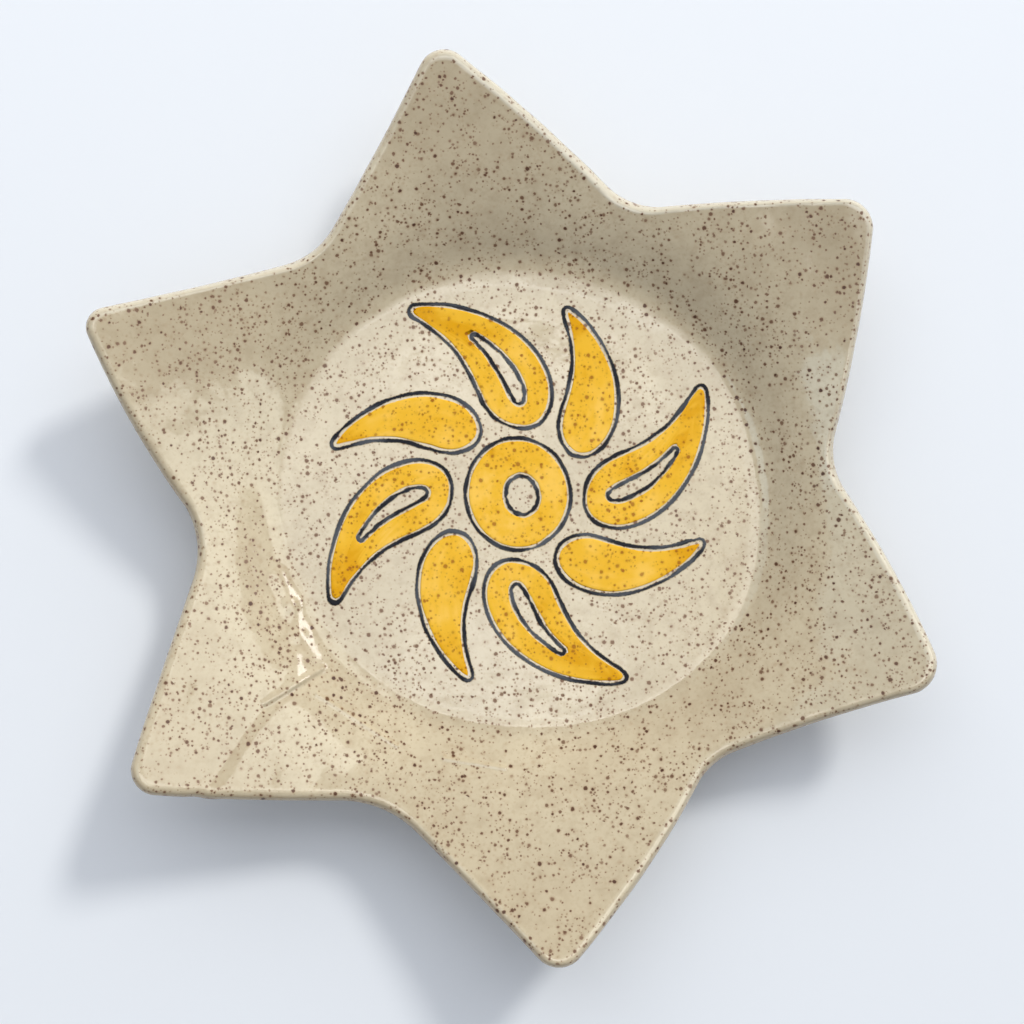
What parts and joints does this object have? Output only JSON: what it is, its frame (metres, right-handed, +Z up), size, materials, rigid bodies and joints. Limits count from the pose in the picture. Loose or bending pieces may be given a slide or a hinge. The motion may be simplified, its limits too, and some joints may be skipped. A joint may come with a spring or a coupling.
{
  "type": "star-shaped serving dish",
  "caption": "Shallow star-shaped stoneware dish: a round flat well, a bent wall that rises to lifted points, a low foot ring, and a painted sun in the well.",
  "frame": {"origin": "on the surface the dish stands on, under the middle of the dish's plan box", "axes": "+Z up out of the well, +Y towards one of the star's points, +X to the right seen from above with that point up"},
  "size_m": [0.211, 0.2386, 0.0333],
  "materials": {
    "speckled_glaze": "clear glossy glaze over cream stoneware with dark iron speckles",
    "bare_clay": "unglazed wiped stoneware, matt and slightly gritty",
    "amber_glaze": "glossy translucent amber glaze, darker where it pools",
    "blue_line": "brushed dark blue line under clear glossy glaze"
  },
  "bodies": {
    "root": {"star_dish": "speckled_glaze", "foot_ring": "bare_clay", "amber_centre": "amber_glaze", "amber_ray_1": "amber_glaze", "amber_ray_2": "amber_glaze", "amber_ray_3": "amber_glaze", "amber_ray_4": "amber_glaze", "amber_ray_5": "amber_glaze", "amber_ray_6": "amber_glaze", "amber_ray_7": "amber_glaze", "amber_ray_8": "amber_glaze", "centre_outline": "blue_line", "eye_outline": "blue_line", "ray_outline_1": "blue_line", "ray_outline_2": "blue_line", "ray_outline_3": "blue_line", "ray_outline_4": "blue_line", "ray_outline_5": "blue_line", "ray_outline_6": "blue_line", "ray_outline_7": "blue_line", "ray_outline_8": "blue_line", "slit_outline_1": "blue_line", "slit_outline_3": "blue_line", "slit_outline_5": "blue_line", "slit_outline_7": "blue_line"}
  },
  "joints": []
}
